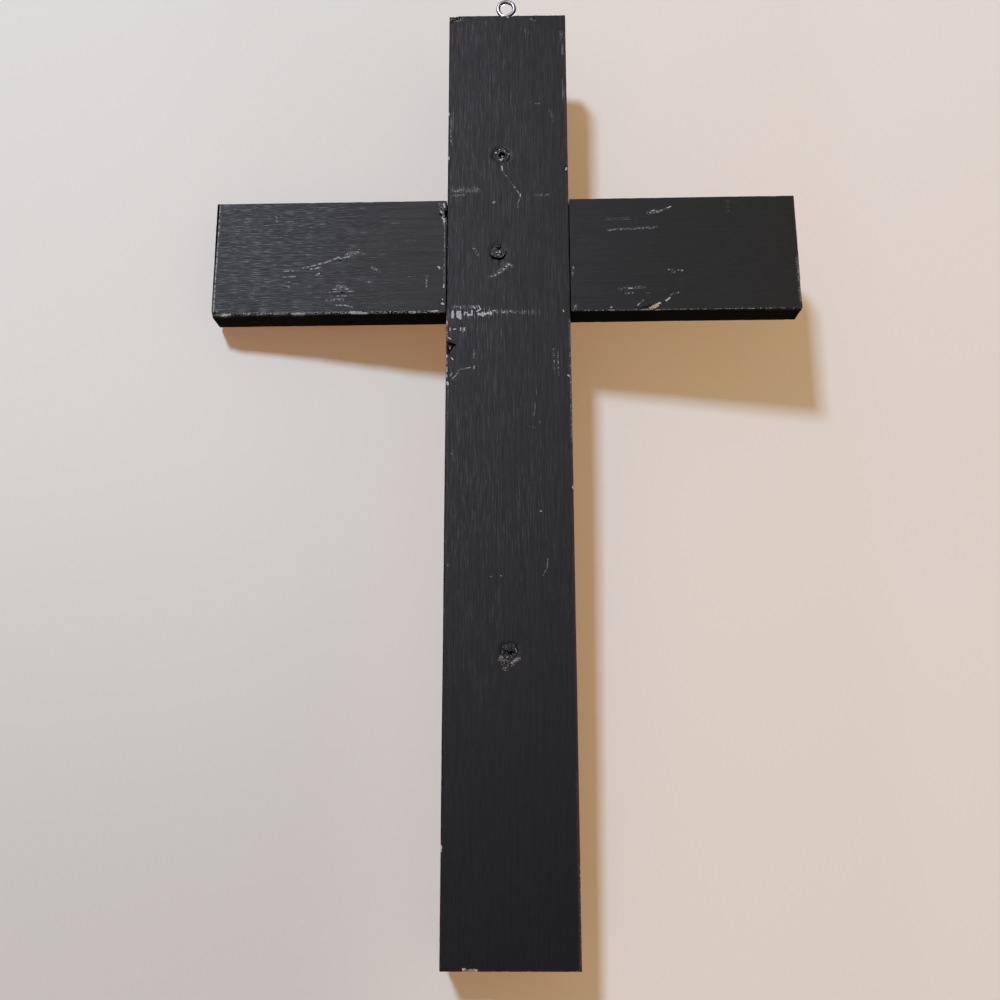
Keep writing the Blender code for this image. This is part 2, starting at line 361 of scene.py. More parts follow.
def boardGrid(across, through, along):
    # a closed box of quads whose corners lie where the mesh lines cross
    bm = bmesh.new()
    known = {}
    lines = (across, through, along)
    last = [len(places) - 1 for places in lines]

    def corner(*spot):
        if spot not in known:
            known[spot] = bm.verts.new([places[n] for places, n in zip(lines, spot)])
        return known[spot]

    def layQuad(axis, level, first, second, spot):
        # one quad on the side where the axis is at its first or last line, facing out
        corners = []
        for stepOne, stepTwo in ((0, 0), (1, 0), (1, 1), (0, 1)):
            place = [0, 0, 0]
            place[axis] = level
            place[first] = spot[0] + stepOne
            place[second] = spot[1] + stepTwo
            corners.append(corner(*place))
        bm.faces.new(corners)

    for axis, first, second in ((1, 0, 2), (0, 2, 1), (2, 1, 0)):
        for one in range(last[first]):
            for two in range(last[second]):
                layQuad(axis, 0, first, second, (one, two))
                layQuad(axis, last[axis], second, first, (two, one))
    return bm


def wearBoardPoint(point, half, board):
    # eases the edges by an uneven radius, then presses brush ridges and slow waves into the faces
    uneven = noise.noise(point * board["unevenScale"]) + 0.75 * noise.noise(point * board["unevenFine"])
    ease = board["edgeRound"] + board["edgeWear"] * max(0.0, uneven)
    inner = Vector([max(-(side - ease), min(side - ease, value)) for side, value in zip(half, point)])
    out = point - inner
    if out.length > 0:
        point = inner + out.normalized() * ease
    across, along = board["ridgeScale"]
    ridge = noise.noise(Vector((point.x * across, point.y * across, point.z / along)))
    across, along = board["waveScale"]
    wave = noise.noise(Vector((point.x * across, point.y * across + 7, point.z * along)))
    sink = board["ridgeDepth"] * (0.5 + 0.5 * ridge) + board["waveDepth"] * (0.5 + 0.5 * wave)
    for axis, side in enumerate(half):
        share = 1.0 - (side - abs(point[axis])) / (ease + 0.4)
        point[axis] -= math.copysign(sink * min(1.0, max(0.0, share)), point[axis])
    return point


def scoop(place, hollow):
    # moves a point inside a lump-shaped hollow along the given way until it lies on the lump's face;
    # the lump itself is a little uneven
    middle = Vector((hollow["at"][0], 0.0, hollow["at"][1]))
    reach = Vector(hollow["reach"]) * (1 + 0.22 * noise.noise(place * 0.8))
    away = place - middle
    start = Vector([a / r for a, r in zip(away, reach)])
    if start.length >= 1:
        return place
    way = Vector(hollow["way"]).normalized()
    step = Vector([w / r for w, r in zip(way, reach)])
    dot = start.dot(step)
    root = math.sqrt(dot * dot - step.length_squared * (start.length_squared - 1))
    travel = (root - dot) / step.length_squared
    return place + way * travel


def boxCutter(size, middle, place):
    bm = bmesh.new()
    bmesh.ops.create_cube(bm, size=1.0)
    bmesh.ops.scale(bm, vec=size, verts=bm.verts)
    bmesh.ops.translate(bm, vec=middle, verts=bm.verts)
    bm.transform(place)
    return bm


def turnedCutter(profile, place, sides=48):
    # a closed turned shape from (radius, height) pairs, both ends on the axis
    bm = bmesh.new()
    rings = []
    for radius, height in profile:
        if radius == 0:
            rings.append([bm.verts.new((0, 0, height))])
            continue
        angles = [2 * math.pi * n / sides for n in range(sides)]
        rings.append([bm.verts.new((radius * math.cos(a), radius * math.sin(a), height)) for a in angles])
    for upper, lower in zip(rings, rings[1:]):
        for n in range(sides):
            ring = [upper[n % len(upper)], lower[n % len(lower)], lower[(n + 1) % len(lower)],
                    upper[(n + 1) % len(upper)]]
            bm.faces.new(list(dict.fromkeys(ring)))
    bm.transform(place)
    return bm


def newPiece(name, bm):
    mesh = bpy.data.meshes.new(name)
    bm.to_mesh(mesh)
    bm.free()
    piece = bpy.data.objects.new(name, mesh)
    bpy.context.scene.collection.objects.link(piece)
    return piece


def carve(piece, cutters):
    tools = []
    for number, bm in enumerate(cutters):
        tool = newPiece(piece.name + "Cutter" + str(number), bm)
        boolean = piece.modifiers.new(tool.name, "BOOLEAN")
        boolean.operation = "DIFFERENCE"
        boolean.solver = "EXACT"
        boolean.object = tool
        tools.append(tool)
    graph = bpy.context.evaluated_depsgraph_get()
    carved = bpy.data.meshes.new_from_object(piece.evaluated_get(graph))
    plain = piece.data
    piece.modifiers.clear()
    piece.data = carved
    bpy.data.meshes.remove(plain)
    for tool in tools:
        toolMesh = tool.data
        bpy.data.objects.remove(tool)
        bpy.data.meshes.remove(toolMesh)


def makeBoard(name, half, place, board, cutters):
    bm = boardGrid(
        meshLines(half[0], board["meshAcross"], board["meshRims"]),
        meshLines(half[1], board["meshThrough"], board["meshRims"]),
        meshLines(half[2], board["meshAlong"], board["meshRims"], board["meshCloser"]),
    )
    toBack = backFrame.inverted() @ place
    for vert in bm.verts:
        point = toBack @ (wearBoardPoint(vert.co.copy(), half, board) * mm)
        for hollow in board["hollows"]:
            point = scoop(point, hollow)
        vert.co = backFrame @ point
    piece = newPiece(name, bm)
    carve(piece, cutters)
    piece.data.shade_smooth()
    piece.data.set_sharp_from_angle(angle=math.radians(38))
    print(name, "board made,", len(piece.data.polygons), "faces")
    return piece


boards = {
    "thickness": 16.0,
    "edgeRound": 0.35,
    "unevenScale": 0.16,
    "unevenFine": 0.42,
    "ridgeScale": (0.85, 55),
    "waveScale": (0.06, 0.018),
    "waveDepth": 0.12,
    "meshAcross": 0.62,
    "meshThrough": 1.4,
    "meshAlong": 2.6,
    "meshRims": (0.0, 0.15, 0.35, 0.65, 1.1),
}

post = {
    **boards,
    "length": 485.0,
    "width": 63.5,
    "edgeWear": 0.4,
    "ridgeDepth": 0.07,
    "meshCloser": [(-242.5, -234, 1.0), (-108, -96, 0.8), (28, 72, 1.1), (97, 109, 0.8), (152, 164, 0.8),
                   (234, 242.5, 1.0)],
    "hollows": [
        # the shallow dishes round the screws, and the open side of the middle one's countersink
        {"at": (-3.3, -84.4), "reach": (5.6, 0.55, 5.6), "way": (0, 1, 0)},
        {"at": (-5.1, -139.4), "reach": (5.2, 0.5, 5.2), "way": (0, 1, 0)},
        {"at": (-4.8, -143.0), "reach": (3.9, 1.5, 1.5), "way": (0, 1, 0)},
        {"at": (0.0, -344.6), "reach": (5.4, 0.5, 5.4), "way": (0, 1, 0)},
        # the knocked-out chip in the left edge and the smaller ones round it
        {"at": (-33.2, -192.3), "reach": (5.4, 1.6, 3.9), "way": (1, 0.75, 0)},
        {"at": (-32.3, -181.5), "reach": (1.3, 1.0, 2.6), "way": (1, 0.6, 0)},
        {"at": (-32.3, -200.5), "reach": (1.2, 0.9, 4.4), "way": (1, 0.6, 0)},
        {"at": (-32.2, -211.0), "reach": (1.5, 0.8, 1.6), "way": (1, 0.6, 0)},
        {"at": (32.4, -93.4), "reach": (1.5, 1.2, 1.6), "way": (-1, 0.6, 0)},
        {"at": (32.5, -207.0), "reach": (1.3, 1.0, 3.2), "way": (-1, 0.6, 0)},
        # nicks in the top end and chips in the bottom one
        {"at": (-29.5, 0.2), "reach": (3.2, 0.9, 1.7), "way": (0, 0.8, -1)},
        {"at": (-18.6, -485.6), "reach": (3.6, 1.1, 1.7), "way": (0, 0.8, 1)},
        {"at": (-31.9, -433.0), "reach": (1.0, 0.8, 1.8), "way": (1, 0.6, 0)},
    ],
}

postHalf = Vector((post["width"], post["thickness"], post["length"])) / 2
postPlace = Matrix.Translation((postMiddle, (backY + frontY) / 2, (postLow.z + postHigh.z) / 2))

bar = {
    **boards,
    "length": 302.0,
    "width": 63.0,
    "drop": 142.0,
    "shift": 1.5,
    "tilt": 0.4,
    "seam": 0.3,
    "gap": 0.3,
    "edgeWear": 0.5,
    "ridgeDepth": 0.08,
    "meshCloser": [(-151, -140, 1.1), (-85, -62, 1.1), (32, 151, 1.3)],
    "hollows": [
        {"at": (-75.5, -173.9), "reach": (5.4, 0.8, 1.4), "way": (0, 0.8, 1)},
        {"at": (72.8, -173.6), "reach": (5.6, 0.8, 3.3), "way": (0, 0.8, 1)},
        {"at": (-151.5, -174.0), "reach": (4.5, 1.4, 2.0), "way": (0.6, 0.6, 1)},
        {"at": (-49.0, -174.0), "reach": (2.2, 0.9, 1.3), "way": (0, 0.8, 1)},
        {"at": (-108.0, -174.6), "reach": (3.2, 0.9, 1.2), "way": (0, 0.8, 1)},
        {"at": (150.0, -160.5), "reach": (1.2, 0.9, 5.0), "way": (-1, 0.6, 0)},
    ],
}

barHalf = Vector((bar["width"], bar["thickness"], bar["length"])) / 2
barMiddle = (postMiddle + bar["shift"] * mm, 0.0, topZ - bar["drop"] * mm)
barFrame = Matrix.Translation(barMiddle) @ Matrix.Rotation(math.radians(bar["tilt"]), 4, "Y")
barPlace = barFrame @ Matrix.Translation((0, (backY + frontY) / 2, 0))
barPlace = barPlace @ Matrix.Rotation(math.radians(90), 4, "Y")

screws = {
    "headRadius": 4.2,
    "shankRadius": 1.6,
    "length": 12.5,
    "sunk": 0.4,
    "rim": 0.3,
    "point": 3.0,
    "coneAngle": 41,
    "recessSpan": 4.4,
    "recessWidth": 1.1,
    "recessDepth": 1.4,
    "threadPitch": 1.3,
    "threadDepth": 0.42,
    "threadWidth": 0.28,
    "sides": 44,
    "gap": 0.02,
    "paintLumps": 0.35,
    "places": {
        "screw_top": {"at": (-3.3, -84.4), "turn": 12, "holeOff": (0.22, -0.2)},
        "screw_cross": {"at": (-5.1, -139.4), "turn": 38, "holeOff": (0.1, -0.62)},
        "screw_foot": {"at": (0.0, -344.6), "turn": 4, "holeOff": (0.1, 0.0)},
    },
}


cutterPast = 2.0    # how far a cutter runs on past the face that it opens


def screwPlace(name, off=(0, 0)):
    x, z = [at + by for at, by in zip(screws["places"][name]["at"], off)]
    head = backFrame @ Matrix.Translation((x, screws["sunk"], z))
    return head @ Matrix.Rotation(math.radians(90), 4, "X")


def screwHole(name):
    head = screws["headRadius"] + screws["gap"]
    shank = screws["shankRadius"] + screws["gap"]
    mouth = screws["sunk"] + cutterPast
    coneTop = -screws["rim"] - screws["gap"]
    coneEnd = coneTop - (head - shank) / math.tan(math.radians(screws["coneAngle"]))
    end = -screws["length"] - screws["gap"]
    pointTop = end + screws["point"]
    profile = [(0, mouth), (head, mouth), (head, coneTop), (shank, coneEnd), (shank, pointTop), (0, end)]
    return turnedCutter(profile, screwPlace(name, screws["places"][name]["holeOff"]))


eyeHole = {"radius": 1.4, "depth": 12.3}
eyeTop = Matrix.Translation((0, 0, topZ)) @ Matrix.Scale(mm, 4)

# the half lap: the post's notch opens at the front, the bar's at the back
lapDepth = (backY + frontY) / 2
notchReach = (bar["width"] + post["width"]) * mm
postFloor = lapDepth + bar["gap"] * mm / 2
postMouth = frontY - cutterPast * mm
postNotch = boxCutter(
    (notchReach, postFloor - postMouth, (bar["width"] + 2 * bar["gap"]) * mm),
    (0, (postFloor + postMouth) / 2, 0),
    barFrame,
)
barFloor = lapDepth - bar["gap"] * mm / 2
barMouth = backY + cutterPast * mm
barNotch = boxCutter(
    (2 * (postHalf.x + bar["seam"]) * mm, barMouth - barFloor, notchReach),
    (0, (barMouth + barFloor) / 2, 0),
    Matrix.Translation((postMiddle, 0, barMiddle[2])),
)
eyeReach, eyeDeep = eyeHole["radius"], -eyeHole["depth"]
eyeProfile = [(0, cutterPast), (eyeReach, cutterPast), (eyeReach, eyeDeep), (0, eyeDeep)]
eyeCutter = turnedCutter(eyeProfile, eyeTop)

postHoles = [screwHole(name) for name in screws["places"]]
postPiece = makeBoard("postBoard", postHalf, postPlace, post, [postNotch, *postHoles, eyeCutter])
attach(postPiece, "root")
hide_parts("post")

barPiece = makeBoard("crossbarBoard", barHalf, barPlace, bar, [barNotch, screwHole("screw_cross")])
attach(barPiece, "root")
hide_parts("crossbar")


def screwPiece(name):
    # turned from rings, with a coarse wood thread on the shank and a painted-over cross recess
    sides = screws["sides"]
    cone = (screws["headRadius"] - screws["shankRadius"]) / math.tan(math.radians(screws["coneAngle"]))
    top = [(screws["headRadius"] * share, 0.0) for share in (0.12, 0.3, 0.5, 0.7, 0.84, 0.93)]
    head = screws["headRadius"]
    rim = [(head - 0.06, -0.03), (head, -0.12), (head, -screws["rim"])]
    coneEnd = -screws["rim"] - cone
    under = [(head + (screws["shankRadius"] - head) * share, -screws["rim"] - cone * share)
             for share in (0.2, 0.4, 0.6, 0.8, 0.94)]
    bm = bmesh.new()
    rings = []

    def ring(radius, height, threaded=False):
        made = []
        for n in range(sides):
            angle = 2 * math.pi * n / sides
            turn = (height / screws["threadPitch"] + n / sides) % 1.0
            crest = max(0.0, 1 - abs(turn - 0.5) / screws["threadWidth"])
            reach = radius - screws["threadDepth"] * (1 - crest) if threaded else radius
            reach = max(0.05, reach)
            made.append(bm.verts.new((reach * math.cos(angle), reach * math.sin(angle), height)))
        rings.append(made)

    for radius, height in top + rim + under:
        ring(radius, height)
    height = coneEnd
    end = -screws["length"]
    while height > end + 0.1:
        taper = min(1.0, (height - end) / screws["point"])
        ring(screws["shankRadius"] * taper, height, height < coneEnd - 0.6)
        height -= screws["threadPitch"] / 12
    for upper, lower in zip(rings, rings[1:]):
        for n in range(sides):
            bm.faces.new((upper[n], lower[n], lower[(n + 1) % sides], upper[(n + 1) % sides]))
    bm.faces.new(rings[0])
    bm.faces.new(reversed(rings[-1]))

    place = screwPlace(name)
    ownNoise = Vector((0, 0, place.translation.z * 900))    # so that no two heads have the same lumps
    for vert in bm.verts:
        if vert.co.z > -screws["rim"]:
            lump = noise.noise(vert.co * 0.9 + ownNoise)
            vert.co.z -= screws["paintLumps"] * (0.5 + 0.5 * lump)
    bm.transform(place)
    piece = newPiece(name + "Detailed", bm)
    turn = math.radians(screws["places"][name]["turn"])
    wings = []
    for quarter in (0, math.pi / 2):
        wing = bmesh.new()
        bmesh.ops.create_cube(wing, size=1.0)
        for vert in wing.verts:
            deep = vert.co.z < 0
            vert.co.x *= screws["recessSpan"] * (0.45 if deep else 1.0)
            vert.co.y *= screws["recessWidth"] * (0.6 if deep else 1.15)
            vert.co.z = -screws["recessDepth"] if deep else 0.3
        wing.transform(place @ Matrix.Rotation(turn + quarter, 4, "Z"))
        wings.append(wing)
    carve(piece, wings)
    piece.data.shade_smooth()
    piece.data.set_sharp_from_angle(angle=math.radians(32))
    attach(piece, "root")
    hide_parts(name)
    return piece


screwPieces = [screwPiece(name) for name in screws["places"]]
print("screws made:", len(screwPieces))


eye = {
    "ringRadius": 4.4,
    "wire": 2.19,
    "bendRadius": 2.0,
    "neck": 1.6,
    "inWood": 12.0,
    "point": 3.0,
    "mouth": 28,
    "flare": 0.4,
    "sides": 28,
    "threadPitch": 1.1,
    "threadDepth": 0.3,
    "threadWidth": 0.3,
    "stepsInWood": 150,
    "stepsInBend": 12,
    "stepsInRing": 96,
}


def eyeRoute():
    # middle of the wire from its point up the shank, round the bend and the ring to the free end
    reach = eye["ringRadius"] + eye["bendRadius"]
    bendZ = -math.sqrt(reach ** 2 - eye["bendRadius"] ** 2)
    shankTop = bendZ - eye["neck"]
    tip = shankTop - eye["inWood"]
    route = []
    for step in range(eye["stepsInWood"]):
        height = tip + (bendZ - tip) * step / eye["stepsInWood"]
        sharp = min(1.0, 0.12 + 0.88 * (height - tip) / eye["point"])
        route.append((Vector((0, 0, height)), sharp, height < shankTop - 0.4))
    meet = math.atan2(-bendZ, eye["bendRadius"])
    for step in range(eye["stepsInBend"]):
        angle = meet * step / eye["stepsInBend"]
        around = Vector((math.cos(angle), 0, math.sin(angle)))
        route.append((Vector((-eye["bendRadius"], 0, bendZ)) + eye["bendRadius"] * around, 1.0, False))
    start = math.pi + meet
    end = math.radians(eye["mouth"]) - math.pi / 2
    for step in range(eye["stepsInRing"] + 1):
        share = step / eye["stepsInRing"]
        angle = start + (end - start) * share
        radius = eye["ringRadius"] + eye["flare"] * max(0.0, 4 * share - 3) ** 2
        route.append((radius * Vector((math.cos(angle), 0, math.sin(angle))), 1.0, False))
    return route


def eyePiece():
    route = eyeRoute()
    sides = eye["sides"]
    bm = bmesh.new()
    rings = []
    for number, (place, share, threaded) in enumerate(route):
        before = route[max(0, number - 1)][0]
        after = route[min(len(route) - 1, number + 1)][0]
        forward = (after - before).normalized()
        sideways = Vector((0, 1, 0)).cross(forward)
        made = []
        for n in range(sides):
            angle = 2 * math.pi * n / sides
            radius = eye["wire"] / 2 * share
            if threaded:
                turn = (place.z / eye["threadPitch"] + n / sides) % 1.0
                crest = max(0.0, 1 - abs(turn - 0.5) / eye["threadWidth"])
                radius -= eye["threadDepth"] * share * (1 - crest)
            around = math.cos(angle) * sideways + math.sin(angle) * Vector((0, 1, 0))
            made.append(bm.verts.new(place + radius * around))
        rings.append(made)
    for lower, upper in zip(rings, rings[1:]):
        for n in range(sides):
            bm.faces.new((lower[n], lower[(n + 1) % sides], upper[(n + 1) % sides], upper[n]))
    bm.faces.new(reversed(rings[0]))
    bm.faces.new(rings[-1])
    bmesh.ops.recalc_face_normals(bm, faces=bm.faces)
    bm.transform(Matrix.Scale(mm, 4))
    piece = newPiece("screwEyeDetailed", bm)
    piece.data.shade_smooth()
    piece.data.set_sharp_from_angle(angle=math.radians(50))
    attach(piece, "root")
    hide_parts("screw_eye")
    return piece


eyeObject = eyePiece()
print("screw eye made")


blackPaint = {
    "paintColour": (0.0108, 0.0100, 0.0108),
    "hollowColour": (0.0080, 0.0074, 0.0080),
    # the pale hairs and the haze are partly dust and partly painted sheen
    "dustAndSheenColour": (0.150, 0.190, 0.225),
    "dustAndSheenHaze": 0.22,
    "hairDark": 0.95,
    "hairsFrom": 0.54,
    "edgeColour": (0.028, 0.021, 0.019),
    "edgeShow": 0.3,
    "edgeChips": 0.64,
    "edgeReach": 0.8,
    "edgeRaggedness": 1.6,
    "chipColour": (0.34, 0.28, 0.24),
    "chipBorder": (1.35, 0.7),
    "chipShadowRim": 0.4,
    "chipShadowRimBorder": (2.9, 1.3),
    "darkColour": (0.002, 0.002, 0.002),
    "dustAndSheenFrontToBack": (4.0, 7.8, 0.25, 1.0),
    "dustAndSheenAcross": (-28.0, 28.0, 1.0, 1.0),
    "dustAndSheenPatches": (0.3, 0.7, 0.6, 1.2),
    "dustAndSheenFlecks": (0.36, 0.62, 0.5, 1.4),
    "dustAndSheenRidges": (0.36, 0.64, 0.55, 1.4),
    "dustDulls": 0.1,
    "wearDulls": 0.25,
    "bareColour": (0.60, 0.48, 0.36),
    "brownColour": (0.075, 0.022, 0.012),
    "scrapedColour": (0.44, 0.47, 0.50),
    "dotsFrom": 0.53,
    "dotsShow": 0.7,
    "rubbedShow": 0.26,
    "scratchShow": 0.6,
    "strokeRaggedness": 2.6,
    "fleckScale": 1.5,
    "gapScale": 0.62,
    "ridgeSpacing": 0.9,
    "ridgeLength": 24.0,
    "hairSpacing": 0.36,
    "hairLength": 15.0,
    "hairHeight": 0.35,
    "roughness": 0.59,
    "roughnessSwing": 0.035,
    "bump": 0.05,
}

# the far colours are painted shading: darker down the post's lower part, lighter and warmer on the bar's
# far arm
postPaint = dict(blackPaint, farShadingColour=(0.0064, 0.0054, 0.0058), farShadingSpan=(-80.0, -240.0),
                 dustAndSheenColour=(0.165, 0.172, 0.192), hairSpacing=0.38, hairLength=8.0, ridgeSpacing=0.8,
                 ridgeLength=20.0, dustAndSheenSpan=(-170.0, 0.0), dustAndSheenAmount=(0.02, 0.12),
                 dustAndSheenAcross=(-28.0, 28.0, 0.6, 1.3))
barPaint = dict(blackPaint, paintColour=(0.0115, 0.0117, 0.0102), hollowColour=(0.0086, 0.0087, 0.0078),
                farShadingColour=(0.0156, 0.0145, 0.0102), farShadingSpan=(-40.0, -150.0),
                ridgeSpacing=0.6, ridgeLength=30.0, hairSpacing=0.33, hairLength=5.5, hairDark=0.85,
                dustAndSheenSpan=(36.0, 140.0), dustAndSheenAmount=(0.03, 0.7), scratchShow=0.8, dotsShow=0.85)

# Each stroke is from x, from z, to x, to z and half its width, in millimetres as the back is seen; the dark
# ones are painted shade, part of the brown is a painted reflection, the rest is wear.
postWear = {
    "chipped": [
        (0.1, -1, 0.7, -1, 0.35), (30.7, -93.2, 30.9, -92.8, 0.6), (-3.2, -91, -2.9, -93.6, 0.3),
        (6.4, -107.4, 6.5, -108.6, 0.3), (-31.4, -59.6, -31.4, -60.6, 0.4),
        (-31.2, -85.8, -31.2, -86.8, 0.45),
        # the broad scuff level with the bar's lower edge, block by block
        (-28.4, -172.9, -28.4, -176.1, 0.62), (-26.1, -173.4, -26, -175.8, 0.5),
        (-24.5, -173, -24.4, -176.8, 0.45), (-26, -172.9, -24.6, -172.8, 0.34),
        (-22.5, -174.7, -22.2, -173.4, 0.3), (-22.1, -173.2, -20.9, -173.6, 0.3),
        (-20.8, -173.8, -20.4, -175.2, 0.4), (-20.6, -174.6, -18.7, -174.8, 0.42),
        (-18.5, -172.4, -18.6, -175, 0.38), (-17.8, -170.2, -17, -171.2, 0.32),
        (-16, -172.9, -14.2, -171.6, 0.36), (-15.3, -174.2, -14.2, -174.6, 0.55),
        (-13.2, -173.6, -13, -175.4, 0.45), (-12.1, -174.1, -8.8, -173.8, 0.5),
        (-9.2, -173.2, -8.8, -174.6, 0.4), (-7.9, -172.6, -6.7, -172.4, 0.24),
        (-2.7, -173.8, -1.9, -173.2, 0.24), (1.3, -172.7, 1.5, -172.9, 0.24),
        (-24.5, -170.2, -24.4, -171, 0.24), (-15.1, -169.6, -14.6, -171, 0.22),
        (-29.6, -181.8, -29.6, -183, 0.3), (-28, -182.4, -26.8, -182.4, 0.34),
        (-24.3, -181.7, -24.3, -183.1, 0.32), (-22.3, -181.6, -22.4, -183.2, 0.3),
        (28, -172.6, 28.2, -173.2, 0.3),
        # white spots round the chip in the left edge
        (-29.9, -191.6, -29.7, -192.4, 0.4), (-30.4, -187, -29.2, -187.8, 0.36),
        (-28.7, -198, -28.2, -198.6, 0.36), (-30.8, -210.8, -30.4, -211.8, 0.5),
        (-31.3, -178.4, -31.3, -180, 0.26), (-31.2, -196.2, -31.2, -197.6, 0.3),
        (-31.2, -199.8, -31.1, -200.8, 0.26), (-31.1, -203, -31.1, -204.8, 0.3),
        (-31.2, -206.8, -31.1, -208, 0.26),
        # the brightest grains of the scuff under the middle screw
        (0.2, -147, 0.6, -147.2, 0.3), (-1.2, -148.2, -0.8, -148.4, 0.26),
        (-2.6, -149.8, -2.2, -149.6, 0.28), (-4.9, -151.8, -4.5, -151.7, 0.3),
        (-6.9, -153.1, -6.6, -153, 0.22), (30, -207.2, 30.3, -207.8, 0.4),
        (31.2, -264.6, 31.2, -265.6, 0.3),
    ],
    "scuffed": [
        (-25.3, -174, -25.3, -176, 0.8), (-15, -174.3, -9, -173.9, 0.8),
    ],
    "scratched": [
        (15.5, -54.3, 16.7, -54.3, 0.34),
        # the scratch that runs down from the top screw
        (-2.2, -95, -1.6, -95.8, 0.16), (-1, -96.6, -0.4, -97.4, 0.24), (1.2, -100.2, 3, -102.6, 0.12),
        (3, -102.6, 3.8, -103.8, 0.3), (4.2, -104.4, 5.6, -106.8, 0.22), (6.2, -109.6, 5.6, -111.4, 0.22),
        (5.2, -112.2, 5, -115, 0.32),
        # the ragged line that runs off the chip in the left edge
        (-28.2, -209, -25.6, -206, 0.34), (-29.4, -207.4, -28.4, -205.8, 0.24),
        (-27.4, -209.8, -26.2, -209, 0.22), (-25.4, -204.6, -23, -203.6, 0.24),
        (-22.4, -203.6, -19.4, -203, 0.3), (-17.4, -203.4, -17.2, -202.4, 0.36),
        (-17.6, -197.6, -17.4, -194, 0.34), (-23, -181.5, -23.1, -184, 0.24),
        (15.1, -232.3, 15.7, -231.8, 0.34), (-7.8, -112.2, -7, -111.8, 0.4),
        (-29.6, -303.4, -29.6, -302.6, 0.35), (15.2, -277, 15.8, -277, 0.35),
        (18.6, -300.5, 18.2, -305, 0.14), (18.2, -305, 16.2, -308.5, 0.15), (-9, -309, -8.4, -309, 0.2),
        (-4.2, -308.6, -3.8, -308.6, 0.2),
    ],
    "dotted": [
        (-31, -2.2, -25.6, -2, 1.9), (12.6, -2.2, 14.8, -3.4, 0.7), (9.6, -8.6, 9.8, -13, 0.36),
        (11.2, -9.6, 11.4, -13.4, 0.3), (-28.8, -105.2, -15.5, -104.8, 1.1), (-29, -108, -23, -107.8, 0.8),
        (14, -108, 22, -108, 0.7), (-10.4, -154.4, -6.8, -153, 0.7), (-6.8, -153, -2.4, -149.6, 1.2),
        (-2.4, -149.6, 0.6, -147.2, 1.3), (0.6, -147.2, 2.2, -148.4, 0.9), (-17.6, -138, -15.4, -142, 0.8),
        (-28, -170.4, -15.6, -170.4, 1), (-8, -172.8, 9, -173.6, 0.8), (22.8, -193, 23, -206, 0.4),
        (25, -195, 25.2, -208, 0.4), (29.2, -12, 29.8, -21, 0.4), (-30.2, -62, -30.2, -78, 0.4),
        (-30.4, -212, -30.4, -230, 0.18), (-28.4, -247.6, -26, -253, 0.25), (-3.8, -348.2, 3.2, -348.8, 1),
    ],
    "rubbed": [
        (-28, -105, -15.5, -104.6, 1.8), (-28.5, -174.4, -9, -173.4, 2.4), (-4, -180, -4, -189, 0.5),
        (-23, -178.5, -23.2, -187, 0.6), (12.4, -228, 14.2, -213, 0.5), (-8.5, -173.2, 15, -173.4, 1.2),
        (-4.6, -151.2, -0.8, -147.2, 1.3), (29.2, -10, 29.9, -24, 0.9), (29.8, -40, 30.2, -52, 1),
        (-29.5, -60, -29.6, -78, 0.9), (10, -234, 13, -234.6, 0.4), (22.8, -59, 24.8, -64, 1.1),
    ],
    "bare": [
        (-21, -484, -19.8, -484.2, 0.6), (-18.4, -484.3, -15.2, -484.5, 0.6),
        (-31.6, -432, -31.6, -434, 0.5),
    ],
    "bareDots": [
        (-31.5, -176, -31.5, -208, 0.5), (31.5, -178, 31.5, -242, 0.5), (31.6, -440, 31.6, -482, 0.3),
        (-14, -484.8, 30, -484.8, 0.2), (-4.4, -347.8, 3.8, -348, 0.9), (-2.4, -349.6, 0.6, -350, 1.1),
        (-2.4, -352.4, -1.4, -352.6, 0.7),
    ],
    # brown strokes: worn undercoat at the ends and by the chip; the long line down the post's right edge is
    # partly worn undercoat and partly a painted warm reflection
    "brown": [
        (31.7, -11, 31.7, -112, 0.7), (31.7, -178, 31.7, -400, 0.8), (31.6, -400, 31.6, -484, 1.1),
        (-31, -484.9, -22, -484.9, 0.4), (-14, -485, 31, -485, 0.45), (-31.7, -176, -31.7, -208, 0.9),
    ],
    # the dark strokes are painted shade
    "dark": [
        # nicks in the top end, with painted shade in them
        (-31.2, -1.4, -28.6, -1, 0.8), (-28.6, -2.6, -27.2, -1.6, 0.6), (-30.8, -4, -29.8, -3.4, 0.6),
        (-28.3, -2.6, -25.8, -1, 0.45), (-30.2, -1.4, -27.6, -2.2, 0.4), (14.4, -1.6, 15, -2.2, 0.3),
        (27.9, -8.8, 28.9, -9.2, 0.24),
        # the chip in the left edge, shaded, then a painted shadow line down the left edge
        (-31.4, -189.6, -31, -195, 1), (-31, -189.8, -27.2, -190.8, 0.6),
        (-27.6, -190.8, -30.6, -194.8, 0.6), (-32, -14, -32, -58, 0.7), (-32, -62, -32, -84, 0.7),
        (-32, -89, -32, -172, 0.7), (-32, -213, -32, -429, 0.7),
        # round the screws: painted shade below the heads, most of all under the middle one's lower rim
        (-2, -348.2, -1.6, -350.6, 0.4), (0.4, -348.2, 0.2, -349.6, 0.35), (-2.4, -88.7, -0.6, -88, 0.3),
        (-0.6, -88, 0.9, -86, 0.4), (-9.1, -141.2, -7.7, -143.1, 0.36), (-7.7, -143.1, -5.1, -144, 0.62),
        (-5.1, -144, -2.5, -143.1, 0.62), (-2.5, -143.1, -1, -140.8, 0.42),
    ],
}

